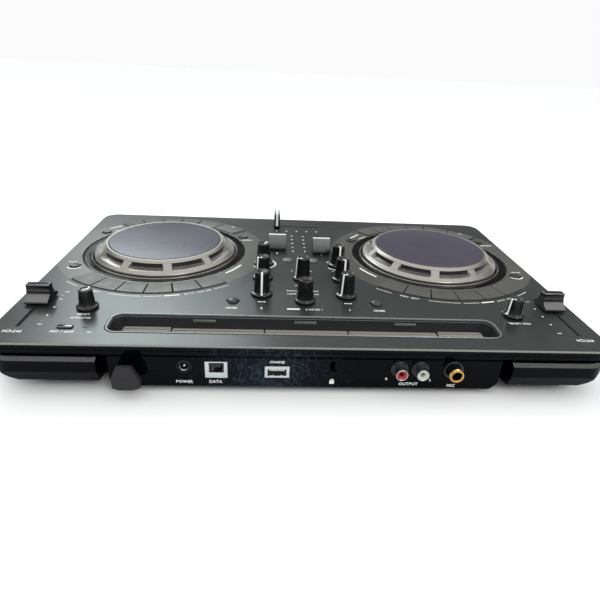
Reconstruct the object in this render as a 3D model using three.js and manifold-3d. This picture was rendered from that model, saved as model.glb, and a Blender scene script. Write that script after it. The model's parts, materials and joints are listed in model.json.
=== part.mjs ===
// Compact two-deck DJ controller with a tablet slot, built as separate pieces.
// Millimetres, +Z up. The user stands at -Y and the sockets face +Y. X = 0 is the plane of symmetry,
// Z = 0 is the surface that the four feet stand on, and Y = 0 is the middle of the whole depth.
import * as THREE from 'three';
import { mergeVertices } from 'three/addons/utils/BufferGeometryUtils.js';
import Module from 'manifold-3d';

// ---- Driving dimensions ----
const bodyWidth = 419;
const bodyDepth = 271;
const panelTop = 36.5; // top face of the panel above the surface below the feet
const panelSheet = 1.5;
const under = -3; // openings in the panel are cut from here
const over = 1; // up to here
const rear = 130.5; // Y of the panel's rear edge
const cornerRadius = 13;
const touchGap = 0.3; // left between pieces that touch
const caseWall = 2.2;
const caseTop = -9; // heights from here on are measured from the panel's top face
const caseFloor = -33;
const footHeight = 3.2;
const footRadius = 7.5;

const deckX = 124.6; // the two decks' centres
const deckY = -166.5; // distances along Y are measured from the panel's rear edge
const wheelRadius = 63;
const spindleRadius = 6;
const spindleHole = 6.4;
const spindleCollar = 9;
const wheelSides = 40; // four facets to each of the wheel's ten windows and ribs
const plateRadius = 50.1;
const plateTop = 11;
const wellRadius = 73;
const wellFloor = -5.6;
const padInner = 75.1;
const padOuter = 93;
const padTop = 0.8;
const padDepth = -6;
const matTop = -7;
const matBottom = -8; // pressed by 0.8 it still clears the bottom case's rim

const slotHalfWidth = 138;
const slotRear = -14.6;
const slotFront = -41.9;
const slotFloor = -11;
const slotWall = 2.2;

const shaftRadius = 2.8;
const shaftHole = 3.7;
const keyRadius = 4.2;
const keyHole = 4.6;
const keySides = 18;
const boardTop = -18;
const boardSheet = 1.6;

// Rear pads and front pads of a deck: edges in degrees round the wheel, 0 along +X, 90 to the rear.
const rearPadEdges = [48.3, 62.4, 76.3, 90.1, 103.9, 118, 131.8];
const frontPadEdges = [-103.3, -90, -76.7, -63.5, -50];
const playEdges = [-119.8, -103.3];
const cueEdges = [-138.9, -119.8];

const knobs = [
  { name: 'trim_knob_right', x: 33.5, y: -77, height: 20, skirt: 8.5, body: 6.5, turn: 0 },
  { name: 'eq_high_knob_right', x: 33.5, y: -108, height: 20, skirt: 8.5, body: 6.5, turn: -49 },
  { name: 'eq_low_knob_right', x: 33.5, y: -139, height: 20, skirt: 8.5, body: 6.5, turn: 140 },
  { name: 'trim_knob_left', x: -33.5, y: -77, height: 20, skirt: 8.5, body: 6.5, turn: -47 },
  { name: 'eq_high_knob_left', x: -33.5, y: -108, height: 20, skirt: 8.5, body: 6.5, turn: 14 },
  { name: 'eq_low_knob_left', x: -33.5, y: -139, height: 20, skirt: 8.5, body: 6.5, turn: 8 },
  { name: 'headphone_level_knob', x: 0, y: -107.5, height: 20, skirt: 8, body: 6.2, turn: -70 },
  { name: 'master_level_knob', x: 157.7, y: -49, height: 15, skirt: 7.8, body: 5.6, turn: 150 },
  { name: 'mic_level_knob', x: -157.7, y: -49, height: 15, skirt: 7.8, body: 5.6, turn: -75 },
];
const browse = { x: 0, y: -66, height: 19, skirt: 8, body: 6.2 };
const channelFader = { from: -168, to: -219, width: 17, height: 14, saddle: false };
const tempoSlider = { from: -20.5, to: -76.7, width: 16.5, height: 13.5, saddle: true };
const faders = [
  { name: 'channel_fader_right', x: 21, y: -180, ...channelFader },
  { name: 'channel_fader_left', x: -21, y: -172.6, ...channelFader },
  { name: 'tempo_slider_right', x: 194, y: -59.2, ...tempoSlider },
  { name: 'tempo_slider_left', x: -194, y: -64.5, ...tempoSlider },
];
const cross = { x: 21, y: -246, half: 24.2 };
const domeKeys = [
  { name: 'load_button_right', x: 55.3, y: -63.8, radius: 4.65, height: 2.6 },
  { name: 'load_button_left', x: -55.3, y: -63.8, radius: 4.65, height: 2.6 },
  { name: 'headphone_cue_button_right', x: 11.8, y: -148, radius: 4.6, height: 1.8 },
  { name: 'headphone_cue_button_left', x: -11.8, y: -148, radius: 4.6, height: 1.8 },
];
const power = { x: 163, y: -20.5, width: 10.3, depth: 4 };

const usbB = { x0: 54, x1: 68.8, z0: -24.6, z1: -12 };
const usbA = { x0: 13, x1: 29.5, z0: -24, z1: -15 };
const dcIn = { x: 82.4, z: -16.7 };
const rca = { x: [-61, -75.2], z: -16, radius: 4.1, collar: 6.1, out: 7.8 };
const mic = { x: -98.2, z: -16.4, radius: 4.9, collar: 7, out: 7.8 };
const socketBack = -14; // the sockets' bodies end short of the tablet slot's tub
const lock = { x: -15.8, z: -15 };
const hook = { x: 118.5, z: -20.4 };
const hookOut = 10;

// ---- Colours and finishes ----
const finish = (color, roughness, metalness = 0) =>
  new THREE.MeshStandardMaterial({ color, roughness, metalness });
const satinPanel = () => finish(0x454c4a, 0.55);
const glossBlack = () => finish(0x08080b, 0.12);
const knobBlack = () => finish(0x17181c, 0.45);
const padRubber = () => finish(0x5d5c58, 0.7);
const wheelGrey = () => finish(0x8b8884, 0.35, 0.5);
const plateSatin = () => finish(0x45434e, 0.4);
const ringSmoke = () => finish(0x1b1b20, 0.15);
const trayGrey = () => finish(0x77726c, 0.6);
const boardGreen = () => finish(0x1f4a33, 0.6);
const portSteel = () => finish(0xb9c1c4, 0.3, 0.9);
const socketBlack = () => finish(0x1a1a1c, 0.5);
const hookGrey = () => finish(0x343438, 0.65);
const footRubber = () => finish(0x202022, 0.9);

// ---- Solids ----
const wasm = await Module();
wasm.setup();

// A closed three.js geometry as a solid that can be joined and cut.
function solid(geometry) {
  geometry.deleteAttribute('normal');
  geometry.deleteAttribute('uv');
  const merged = mergeVertices(geometry, 1e-4);
  return new wasm.Manifold(new wasm.Mesh({
    numProp: 3,
    vertProperties: new Float32Array(merged.attributes.position.array),
    triVerts: new Uint32Array(merged.index.array),
  }));
}

// The solid's own triangles, flat shaded.
function geometryOf(manifold) {
  const mesh = manifold.getMesh();
  const geometry = new THREE.BufferGeometry();
  geometry.setAttribute('position', new THREE.BufferAttribute(mesh.vertProperties, 3));
  geometry.setIndex(new THREE.BufferAttribute(mesh.triVerts, 1));
  geometry.computeVertexNormals();
  return geometry;
}

function outline(points) {
  return new THREE.Shape(points.map(([a, b]) => new THREE.Vector2(a, b)));
}

// A flat outline in XY raised from z0 to z1.
function raised(shape, z0, z1, curveSegments = 4) {
  const geometry = new THREE.ExtrudeGeometry(shape, { depth: z1 - z0, bevelEnabled: false, curveSegments });
  return solid(geometry.translate(0, 0, z0));
}

// An outline of (y, z) points carried along X.
function alongX(points, x0, x1) {
  const geometry = new THREE.ExtrudeGeometry(outline(points), { depth: x1 - x0, bevelEnabled: false });
  const turn = new THREE.Matrix4().set(0, 0, 1, x0, 1, 0, 0, 0, 0, 1, 0, 0, 0, 0, 0, 1);
  return solid(geometry.applyMatrix4(turn));
}

// An outline of (x, z) points carried along Y.
function alongY(points, y0, y1) {
  const geometry = new THREE.ExtrudeGeometry(outline(points), { depth: y1 - y0, bevelEnabled: false });
  return solid(geometry.rotateX(Math.PI / 2).translate(0, y1, 0));
}

function block(x0, x1, y0, y1, z0, z1) {
  const geometry = new THREE.BoxGeometry(x1 - x0, y1 - y0, z1 - z0);
  return solid(geometry.translate((x0 + x1) / 2, (y0 + y1) / 2, (z0 + z1) / 2));
}

// A rod on a vertical axis.
function rod(radius, z0, z1, x = 0, y = 0, sides = 12) {
  const geometry = new THREE.CylinderGeometry(radius, radius, z1 - z0, sides);
  return solid(geometry.rotateX(Math.PI / 2).translate(x, y, (z0 + z1) / 2));
}

// A rod on an axis along Y.
function rodY(radius, y0, y1, x, z, sides = 14) {
  const geometry = new THREE.CylinderGeometry(radius, radius, y1 - y0, sides);
  return solid(geometry.translate(x, (y0 + y1) / 2, z));
}

// A profile of (radius, height) points, from the axis round to the axis, turned about Z.
function turned(points, sides = 16) {
  const profile = points.map(([r, z]) => new THREE.Vector2(r, z));
  return solid(new THREE.LatheGeometry(profile, sides).rotateX(Math.PI / 2));
}

function roundedRectangle(x0, x1, y0, y1, r) {
  const shape = new THREE.Shape();
  shape.moveTo(x0 + r, y0);
  shape.lineTo(x1 - r, y0);
  shape.absarc(x1 - r, y0 + r, r, -Math.PI / 2, 0);
  shape.lineTo(x1, y1 - r);
  shape.absarc(x1 - r, y1 - r, r, 0, Math.PI / 2);
  shape.lineTo(x0 + r, y1);
  shape.absarc(x0 + r, y1 - r, r, Math.PI / 2, Math.PI);
  shape.lineTo(x0, y0 + r);
  shape.absarc(x0 + r, y0 + r, r, Math.PI, Math.PI * 1.5);
  return shape;
}

// A ring sector between two radii and two angles in degrees.
function ringSector(r0, r1, from, to) {
  const a0 = THREE.MathUtils.degToRad(from);
  const a1 = THREE.MathUtils.degToRad(to);
  const shape = new THREE.Shape();
  shape.absarc(0, 0, r1, a0, a1, false);
  shape.absarc(0, 0, r0, a1, a0, true);
  return shape;
}

const arcSteps = (from, to) => Math.max(2, Math.round((to - from) / 9));
const polar = (radius, degrees) => {
  const angle = THREE.MathUtils.degToRad(degrees);
  return [radius * Math.cos(angle), radius * Math.sin(angle)];
};
const join = (first, ...rest) => rest.reduce((whole, piece) => whole.add(piece), first);
const cut = (first, ...rest) => rest.reduce((whole, piece) => whole.subtract(piece), first);

// Everything is modelled from the panel's rear edge and top face, and this group puts it in its frame.
const group = new THREE.Group();
const placed = new THREE.Group();
placed.position.set(0, rear, panelTop);
group.add(placed);

function addPiece(name, manifold, material, x = 0, y = 0, turn = 0) {
  const mesh = new THREE.Mesh(geometryOf(manifold), material);
  mesh.name = name;
  mesh.position.set(x, y, 0);
  mesh.rotation.z = THREE.MathUtils.degToRad(turn);
  placed.add(mesh);
}

// ---- Decks: key places, shared by the panel's holes and the keys ----
const sides = [{ side: 'right', sign: 1 }, { side: 'left', sign: -1 }];
const smallKeys = (sign) => [
  polar(81, sign > 0 ? 32.3 : 149),
  polar(81, sign > 0 ? -33 : -146),
  polar(80, sign > 0 ? -149.5 : -30.5),
];

// ---- Top panel: one moulded sheet with two wheel wells and all the openings ----
function topPanel() {
  let panel = raised(roundedRectangle(-bodyWidth / 2, bodyWidth / 2, -bodyDepth, 0, cornerRadius),
    -panelSheet, 0);
  const wellWall = 1.4;
  const rim = 0.3;
  for (const { sign } of sides) {
    const x = sign * deckX;
    panel = join(panel, rod(wellRadius + wellWall, wellFloor - wellWall, -0.5, x, deckY, 48),
      rod(spindleCollar, wellFloor - 7, wellFloor, x, deckY, 16));
    panel = cut(panel, rod(wellRadius, wellFloor, over, x, deckY, 48),
      rod(spindleHole, -20, over, x, deckY, 16));
    for (const [from, to] of [[rearPadEdges[0], rearPadEdges.at(-1)], [cueEdges[0], frontPadEdges.at(-1)]]) {
      const windowShape = ringSector(padInner - rim, padOuter + rim, from, to);
      panel = cut(panel, raised(windowShape, under, over, arcSteps(from, to)).translate([x, deckY, 0]));
    }
    for (const [keyX, keyY] of smallKeys(sign)) {
      panel = cut(panel, rod(keyHole, under, over, x + keyX, deckY + keyY, keySides));
    }
  }
  for (const { x, y } of [...knobs, browse]) panel = cut(panel, rod(shaftHole, under, over, x, y, 10));
  for (const { x, y, radius } of domeKeys) panel = cut(panel, rod(radius + 0.4, under, over, x, y));
  for (const { x, from, to } of faders) panel = cut(panel, block(x - 1.4, x + 1.4, to, from, under, over));
  const powerX = power.width / 2 + touchGap;
  const powerY = power.depth / 2 + touchGap;
  return cut(panel,
    block(-cross.half, cross.half, cross.y - 1.4, cross.y + 1.4, under, over),
    block(power.x - powerX, power.x + powerX, power.y - powerY, power.y + powerY, under, over),
    raised(roundedRectangle(-slotHalfWidth - touchGap, slotHalfWidth + touchGap,
      slotFront - touchGap, slotRear + touchGap, 9), under, over));
}
addPiece('top_panel', topPanel(), satinPanel());

// ---- Upper frame: the gloss band that carries the panel round its edge ----
function bandFrame() {
  const inset = 0.8;
  const wall = 3;
  const ring = (edge) => roundedRectangle(-bodyWidth / 2 + edge, bodyWidth / 2 - edge,
    -bodyDepth + edge, -edge, cornerRadius - edge);
  const top = -panelSheet - touchGap;
  return cut(raised(ring(inset), caseTop + touchGap, top), raised(ring(inset + wall), -20, 1));
}
addPiece('upper_frame', bandFrame(), glossBlack());

// ---- Bottom case: a tray whose rear has two stepped-out wings and a flat socket face between them ----
const rearView = [[206, caseTop], [203, -12.5], [198.5, -19], [194, -24.5], [188, -28], [165, caseFloor]];
const wingSide = [[0, caseTop], [4, -10.9], [4, -19], [0.5, -27.5], [-25, caseFloor]];
const faceSide = [[0, caseTop], [0, -31.5], [-1.5, caseFloor]];
const frontSide = [[-240, caseFloor], [-258, -29], [-268, -20], [-270, caseTop]];

// An outline's points moved in from its sides and up from its floor, for the hollow inside it.
function caseOutline(points, inset) {
  const middle = points === rearView ? 0 : -bodyDepth / 2;
  return points.map(([a, z]) => [a - Math.sign(a - middle) * inset * 1.6, z + inset]);
}

function caseBody(inset) {
  const lift = inset > 0 ? 20 : 0;
  const closeTop = (points) => {
    const [first, last] = [points[0], points.at(-1)];
    return lift ? [[first[0], lift], ...points, [last[0], lift]] : points;
  };
  const halfView = caseOutline(rearView, inset);
  const mirrored = halfView.map(([x, z]) => [-x, z]).reverse();
  const view = alongY(closeTop([...halfView, ...mirrored]), -bodyDepth - 10, 10);
  const front = caseOutline(frontSide, inset);
  const wingEnd = 137.5 + inset;
  const faceEnd = 131 - inset;
  const wings = cut(alongX(closeTop([...caseOutline(wingSide, inset), ...front]), -220, 220),
    block(-wingEnd, wingEnd, -12 - inset, 20, -40, 30));
  const faceView = [[faceEnd, 30], [faceEnd, -27], [faceEnd - 6.5, caseFloor + inset - 0.1],
    [6.5 - faceEnd, caseFloor + inset - 0.1], [-faceEnd, -27], [-faceEnd, 30]];
  const face = alongX(closeTop([...caseOutline(faceSide, inset), ...front]), -faceEnd, faceEnd)
    .intersect(alongY(faceView, -bodyDepth - 10, 10));
  const edge = 3.5 + inset;
  const plan = raised(roundedRectangle(-bodyWidth / 2 + edge, bodyWidth / 2 - edge,
    -bodyDepth + 1 + inset, 4 - inset, 14), -40, 30);
  return join(wings, face).intersect(view).intersect(plan);
}

function bottomCase() {
  let shell = cut(caseBody(0), caseBody(caseWall));
  const postSpots = [[165, -60], [165, -200], [60, -120], [-165, -60], [-165, -200], [-60, -120],
    [45, -235], [-45, -235]];
  for (const [x, y] of postSpots) {
    shell = join(shell, rod(3.5, caseFloor + 1, boardTop - boardSheet - touchGap, x, y, 10));
  }
  const clear = touchGap;
  return cut(shell,
    block(usbB.x0 - clear, usbB.x1 + clear, -10, 5, usbB.z0 - clear, usbB.z1 + clear),
    block(usbA.x0 - clear, usbA.x1 + clear, -10, 5, usbA.z0 - clear, usbA.z1 + clear),
    rodY(5.2, -10, 5, dcIn.x, dcIn.z),
    ...rca.x.map((x) => rodY(rca.collar + clear, -10, 5, x, rca.z)),
    rodY(mic.collar + clear, -10, 5, mic.x, mic.z),
    rodY(4.8, -10, 5, hook.x, hook.z),
    block(lock.x - 1.6, lock.x + 1.6, -10, 5, lock.z - 3.5, lock.z + 3.5),
    block(lock.x - 3.3, lock.x + 3.3, -0.8, 5, lock.z - 4.3, lock.z + 4.3));
}
addPiece('bottom_case', bottomCase(), glossBlack());

// ---- Tablet slot: a tub with a light lip ----
function slotTray() {
  const bottom = slotFloor - 2;
  const lipTop = 0.5;
  const outer = raised(roundedRectangle(-slotHalfWidth, slotHalfWidth, slotFront, slotRear, 8.7),
    bottom, lipTop);
  const inner = raised(roundedRectangle(-slotHalfWidth + slotWall, slotHalfWidth - slotWall,
    slotFront + slotWall, slotRear - slotWall, 6.8), slotFloor, 2);
  return cut(outer, inner);
}
addPiece('slot_tray', slotTray(), trayGrey());

// ---- Main board with the pot and fader housings that stand on it ----
function mainBoard() {
  let board = block(-178, 178, -255, -50, boardTop - boardSheet, boardTop);
  for (const { x, y } of [...knobs, browse]) {
    if (Math.abs(x) < 100) board = join(board, block(x - 4.8, x + 4.8, y - 4.8, y + 4.8, boardTop - 1, -9.8));
  }
  for (const sign of [1, -1]) {
    board = join(board, block(sign * 21 - 4.5, sign * 21 + 4.5, -224, -163, boardTop - 1, -7.2));
  }
  return join(board, block(-29, 29, cross.y - 4.5, cross.y + 4.5, boardTop - 1, -7.2));
}
addPiece('main_board', mainBoard(), boardGreen());

// ---- Sockets in the rear face ----
function usbPort({ x0, x1, z0, z1 }, hollow, out) {
  const [hx0, hx1, hz0, hz1] = hollow;
  return cut(block(x0, x1, socketBack, out, z0, z1), block(hx0, hx1, socketBack + 1.2, 5, hz0, hz1));
}
addPiece('usb_b_port', usbPort(usbB, [56.4, 66, -20.4, -12.9], 0.5), portSteel());
addPiece('usb_a_port', usbPort(usbA, [15.1, 27.5, -22.5, -17.4], 0.5), portSteel());

function dcJack() {
  const barrel = join(rodY(4.9, -4, -0.4, dcIn.x, dcIn.z), block(dcIn.x - 4.5, dcIn.x + 4.5, socketBack, -3.9,
    dcIn.z - 5.5, dcIn.z + 5.5));
  return join(cut(barrel, rodY(2.9, -12, 1, dcIn.x, dcIn.z)), rodY(1, -13, -2.5, dcIn.x, dcIn.z, 10));
}
addPiece('dc_jack', dcJack(), socketBlack());

function rcaSockets() {
  const [x0, x1] = [rca.x[1] - 7.5, rca.x[0] + 7.5];
  let module = block(x0, x1, socketBack, -4, rca.z - 6.5, rca.z + 4);
  for (const x of rca.x) {
    module = join(module, rodY(rca.collar, -4.5, 0.8, x, rca.z), rodY(rca.radius, -4.5, rca.out, x, rca.z));
    module = cut(module, rodY(1.6, 1, 12, x, rca.z, 10));
  }
  return module;
}
addPiece('rca_sockets', rcaSockets(), socketBlack());

function micJack() {
  const module = join(block(mic.x - 8, mic.x + 8, socketBack, -4, mic.z - 8, mic.z + 4.4),
    rodY(mic.collar, -4.5, 1, mic.x, mic.z), rodY(mic.radius, -4.5, mic.out, mic.x, mic.z));
  return cut(module, rodY(3.25, socketBack + 1.2, 12, mic.x, mic.z));
}
addPiece('mic_jack', micJack(), socketBlack());

// ---- Cord hook: a plate, narrow at the top, on a stem, to loop a lead behind ----
function cordHook() {
  const plate = [[4.8, 9], [-4.8, 9], [-9.6, -0.5], [-9.8, -6.5], [-4, -8.2], [4, -8.2], [8.3, -6.8],
    [8.6, 0.5]];
  const head = alongY(plate.map(([x, z]) => [x + hook.x, z + hook.z]), hookOut - 4, hookOut);
  return join(head, rodY(4.4, -6.2, hookOut - 3.5, hook.x, hook.z), rodY(6.5, -6.2, -3.9, hook.x, hook.z));
}
addPiece('cord_hook', cordHook(), hookGrey());

// ---- Feet ----
for (const [place, sign, y] of [['rear_right', 1, -48], ['rear_left', -1, -48],
  ['front_right', 1, -225], ['front_left', -1, -225]]) {
  const foot = turned([[0, -panelTop], [footRadius - 0.8, -panelTop], [footRadius, -panelTop + 0.8],
    [footRadius, -panelTop + footHeight], [0, -panelTop + footHeight]]);
  addPiece(`rubber_foot_${place}`, foot, footRubber(), sign * 150, y);
}

// ---- Jog wheels ----
// The rim is a hollow cone with a flange below and a spindle that turns in the panel's collar.
function jogWheel() {
  const rim = turned([[0, -12], [spindleRadius, -12], [spindleRadius, 6.7], [46, 6.7], [56, -1],
    [60, -4.9], [wheelRadius, -4.9], [wheelRadius, 1], [61.6, 2.2], [53, 9.8], [51.6, 10.6], [50.4, 10.6],
    [50.4, 9.2], [0, 9.2]], wheelSides);
  const band = turned([[0, 4], [58, 3.1], [61.6, 3.1], [55.4, 8.6], [53, 8.6], [0, 8.6]], wheelSides);
  const core = turned([[0, 0], [59.6, 0], [59.6, 2.6], [53.4, 8.2], [0, 12]], wheelSides);
  const ring = cut(band, core);
  const windows = [];
  for (let k = 0; k < 10; k += 1) {
    const wedge = raised(ringSector(45, 70, k * 36 - 13, k * 36 + 13), 0, 12, 2);
    windows.push(ring.intersect(wedge));
  }
  return cut(rim, ...windows);
}
const touchPlate = () => turned([[0, plateTop - 1.5], [plateRadius, plateTop - 1.5],
  [plateRadius, plateTop - 0.3], [plateRadius - 0.5, plateTop], [0, plateTop]], wheelSides);
function lightRing() {
  const outer = rod(wellRadius - touchGap, wellFloor + touchGap, -0.5, 0, 0, wheelSides);
  return cut(outer, rod(wheelRadius + 0.9, -20, 1, 0, 0, wheelSides));
}

// ---- Pads and keys round a deck ----
function padSolid(from, to, top = padTop, bottom = padDepth) {
  const trim = touchGap;
  return raised(ringSector(padInner, padOuter, from + trim, to - trim), bottom, top, arcSteps(from, to));
}
// One soft mat carries the four performance pads and the deck's three small round keys.
function keyMat(sign) {
  const sheet = (r1, from, to) => {
    const [start, end] = sign > 0 ? [from, to] : [-180 - to, -180 - from];
    return raised(ringSector(padInner, r1, start, end), matBottom, matTop, arcSteps(from, to));
  };
  // Past the front keys the sheet narrows to a strip that clears the case's side wall.
  let mat = join(sheet(padOuter - 3, -152, -34), sheet(padInner + 2.2, -35, 36));
  for (let k = 0; k < 4; k += 1) {
    mat = join(mat, padSolid(frontPadEdges[k], frontPadEdges[k + 1], padTop, matTop - 0.5));
  }
  for (const [x, y] of smallKeys(sign)) mat = join(mat, rod(keyRadius, matTop - 0.5, 1.2, x, y, keySides));
  return mat;
}

for (const { side, sign } of sides) {
  const x = sign * deckX;
  const wheelTurn = sign > 0 ? 12 : 26;
  addPiece(`jog_wheel_${side}`, jogWheel(), wheelGrey(), x, deckY, wheelTurn);
  addPiece(`jog_plate_${side}`, touchPlate(), plateSatin(), x, deckY);
  addPiece(`light_ring_${side}`, lightRing(), ringSmoke(), x, deckY);
  for (let k = 0; k < 6; k += 1) {
    const pad = padSolid(rearPadEdges[k], rearPadEdges[k + 1]);
    addPiece(`rear_pad_${side}_${k + 1}`, pad, padRubber(), x, deckY);
  }
  addPiece(`play_button_${side}`, padSolid(...playEdges), padRubber(), x, deckY);
  addPiece(`cue_button_${side}`, padSolid(...cueEdges), padRubber(), x, deckY);
  addPiece(`pad_mat_${side}`, keyMat(sign), padRubber(), x, deckY);
}

// ---- Knobs: a skirted cone on a shaft, with a pointer groove across the top ----
function knobSolid({ height, skirt, body }) {
  const taper = 1;
  const cone = turned([[0, -9.5], [shaftRadius, -9.5], [shaftRadius, 0.6], [skirt, 0.6], [skirt, 2.2],
    [body, 3.2], [body - taper, height - 0.5], [body - taper - 0.5, height], [0, height]]);
  return cut(cone, block(-0.5, 0.5, 1, body, height - 0.7, height + 1));
}
for (const knob of knobs) {
  addPiece(knob.name, knobSolid(knob), knobBlack(), knob.x, knob.y, knob.turn);
}
// The browse knob turns on a separate shaft, which goes down with it when it is pushed.
addPiece('browse_shaft', rod(2.6, -8.5, 10), portSteel(), browse.x, browse.y);
addPiece('browse_knob', cut(turned([[0, 0.9], [browse.skirt, 0.9], [browse.skirt, 2.4], [browse.body, 3.2],
  [browse.body - 1.2, browse.height - 0.5], [browse.body - 1.7, browse.height], [0, browse.height]]),
rod(2.9, -1, 10.3)), knobBlack(), browse.x, browse.y);

// ---- Fader caps on flat stems: saddles on the tempo sliders, plain wedges on the channel faders ----
function faderCap({ width, height, saddle }) {
  const half = saddle ? [[10, 1], [10, 3.2], [6.5, 5], [3.6, 9], [2.75, height]]
    : [[8.6, 1], [8.6, 2.2], [2.6, height - 0.7], [2, height]];
  const profile = [...half, ...half.map(([y, z]) => [-y, z]).reverse()];
  return join(alongX(profile, -width / 2, width / 2), block(-0.9, 0.9, -2.5, 2.5, -6.6, 1.5));
}
for (const fader of faders) addPiece(fader.name, faderCap(fader), knobBlack(), fader.x, fader.y);
function crossCap() {
  const half = [[3.3, 1], [3.3, 14.6], [2.6, 16.8], [1.2, 18]];
  const profile = [...half, ...half.map(([x, z]) => [-x, z]).reverse()];
  return join(alongY(profile, -9, 9), block(-1.2, 1.2, -0.9, 0.9, -6.6, 1.5));
}
addPiece('crossfader', crossCap(), knobBlack(), cross.x, cross.y);

// ---- Round buttons and the power button ----
for (const { name, x, y, radius, height } of domeKeys) {
  const dome = turned([[0, -5.5], [radius, -5.5], [radius, height * 0.4], [radius * 0.8, height * 0.75],
    [radius * 0.4, height * 0.96], [0, height]], 14);
  addPiece(name, dome, knobBlack(), x, y);
}
addPiece('power_button', raised(roundedRectangle(-power.width / 2, power.width / 2,
  -power.depth / 2, power.depth / 2, 1.2), -5.5, 1.2, 3), knobBlack(), power.x, power.y);

export default group;
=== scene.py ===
import json
import math

import bmesh
import bpy
import numpy as np
from mathutils import Matrix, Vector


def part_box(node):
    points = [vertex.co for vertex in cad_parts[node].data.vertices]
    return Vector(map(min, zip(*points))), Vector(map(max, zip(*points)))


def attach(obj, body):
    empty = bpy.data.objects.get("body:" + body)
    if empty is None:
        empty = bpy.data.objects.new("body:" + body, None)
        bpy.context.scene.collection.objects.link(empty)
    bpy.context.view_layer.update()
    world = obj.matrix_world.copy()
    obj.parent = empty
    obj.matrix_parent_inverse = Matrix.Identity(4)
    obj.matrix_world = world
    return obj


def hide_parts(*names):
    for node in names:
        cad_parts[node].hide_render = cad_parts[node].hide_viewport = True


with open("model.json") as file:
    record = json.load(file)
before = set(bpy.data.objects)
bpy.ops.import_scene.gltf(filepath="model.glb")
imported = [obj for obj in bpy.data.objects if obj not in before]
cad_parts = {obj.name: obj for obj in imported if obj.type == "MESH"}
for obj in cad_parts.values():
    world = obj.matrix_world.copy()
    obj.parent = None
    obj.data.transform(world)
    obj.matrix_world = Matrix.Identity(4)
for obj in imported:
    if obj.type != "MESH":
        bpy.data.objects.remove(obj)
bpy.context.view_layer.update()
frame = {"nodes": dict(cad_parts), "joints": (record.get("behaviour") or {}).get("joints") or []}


# ---------------------------------------------------------------- the studio
# A pale floor under a pale horizon, a large soft lamp beyond the controller like a window, and a small fill
# on the camera's side. The camera stands behind the sockets and looks down at 26 degrees.
def linear(code):
    """A colour written as sRGB hex, turned to linear light: ((c + 0.055) / 1.055) ** 2.4 above 0.04045."""
    channels = [int(code[i : i + 2], 16) / 255 for i in (1, 3, 5)]
    return tuple(c / 12.92 if c <= 0.04045 else ((c + 0.055) / 1.055) ** 2.4 for c in channels) + (1.0,)


def add(tree, kind, inputs=None, **settings):
    """Adds a node with its settings, and sets each named input or links it to a socket."""
    made = tree.nodes.new(kind)
    for name, value in settings.items():
        setattr(made, name, value)
    for name, value in (inputs or {}).items():
        if isinstance(value, bpy.types.NodeSocket):
            tree.links.new(value, made.inputs[name])
        else:
            made.inputs[name].default_value = value
    return made


camera = bpy.data.objects.new("camera", bpy.data.cameras.new("camera"))
bpy.context.scene.collection.objects.link(camera)
camera.data.lens = 29.47
camera.data.sensor_width = 36
camera.data.shift_x = -0.0014
camera.data.shift_y = -0.0158
camera.data.clip_start = 0.01
camera.matrix_world = Matrix((
    (-0.99769, 0.02279, 0.06405, 0.02766),
    (0.04778, -0.43516, 0.89908, 0.40143),
    (0.04837, 0.90006, 0.43307, 0.20791),
    (0, 0, 0, 1),
))
bpy.context.scene.camera = camera

floor = bpy.data.objects.new("floor", bpy.data.meshes.new("floor"))
floor_half = 6.0
floor.data.from_pydata(
    [(-floor_half, -floor_half, 0), (floor_half, -floor_half, 0), (floor_half, floor_half, 0),
     (-floor_half, floor_half, 0)], [], [(0, 1, 2, 3)])
bpy.context.scene.collection.objects.link(floor)
paper = bpy.data.materials.new("matt_white_paper")
paper.use_nodes = True
paper_shader = paper.node_tree.nodes["Principled BSDF"]
paper_shader.inputs["Base Color"].default_value = linear("#f8f8f8")
paper_shader.inputs["Roughness"].default_value = 0.9
paper_shader.inputs["Specular IOR Level"].default_value = 0.1
floor.data.materials.append(paper)

world = bpy.data.worlds.new("studio")
bpy.context.scene.world = world
world.use_nodes = True
sky = world.node_tree
sky.nodes.clear()
direction = add(sky, "ShaderNodeTexCoord")
height = add(sky, "ShaderNodeSeparateXYZ", {"Vector": direction.outputs["Generated"]})
ramp = add(sky, "ShaderNodeValToRGB", {"Fac": height.outputs["Z"]})
stops = [(0.0, "#f4f4f4"), (0.13, "#f2f2f2"), (0.2, "#504e4c"), (0.32, "#3c3b3b"), (0.44, "#6c6c70"),
         (0.62, "#f4f6f6"), (1.0, "#ffffff")]
while len(ramp.color_ramp.elements) < len(stops):
    ramp.color_ramp.elements.new(0.5)
for element, (place, code) in zip(ramp.color_ramp.elements, stops):
    element.position = place
    element.color = linear(code)
glow = add(sky, "ShaderNodeBackground", {"Color": ramp.outputs["Color"], "Strength": 1.45})
backdrop = add(sky, "ShaderNodeBackground", {"Color": linear("#fbfbfb"), "Strength": 1.0})
seen = add(sky, "ShaderNodeMixShader", {0: add(sky, "ShaderNodeLightPath").outputs["Is Camera Ray"],
                                        1: glow.outputs["Background"], 2: backdrop.outputs["Background"]})
add(sky, "ShaderNodeOutputWorld", {"Surface": seen.outputs["Shader"]})


def soft_lamp(name, place, aim, size, watts, tint="#ffffff"):
    """A square area lamp at place, turned so that it faces aim."""
    lamp = bpy.data.objects.new(name, bpy.data.lights.new(name, "AREA"))
    lamp.data.size = size
    lamp.data.energy = watts
    lamp.data.color = linear(tint)[:3]
    towards = np.array(aim, float) - np.array(place, float)
    z = -towards / np.linalg.norm(towards)
    x = np.cross((0, 1, 0) if abs(z[1]) < 0.9 else (1, 0, 0), z)
    x /= np.linalg.norm(x)
    y = np.cross(z, x)
    lamp.matrix_world = Matrix([[x[i], y[i], z[i], place[i]] for i in range(3)] + [[0, 0, 0, 1]])
    bpy.context.scene.collection.objects.link(lamp)


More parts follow.
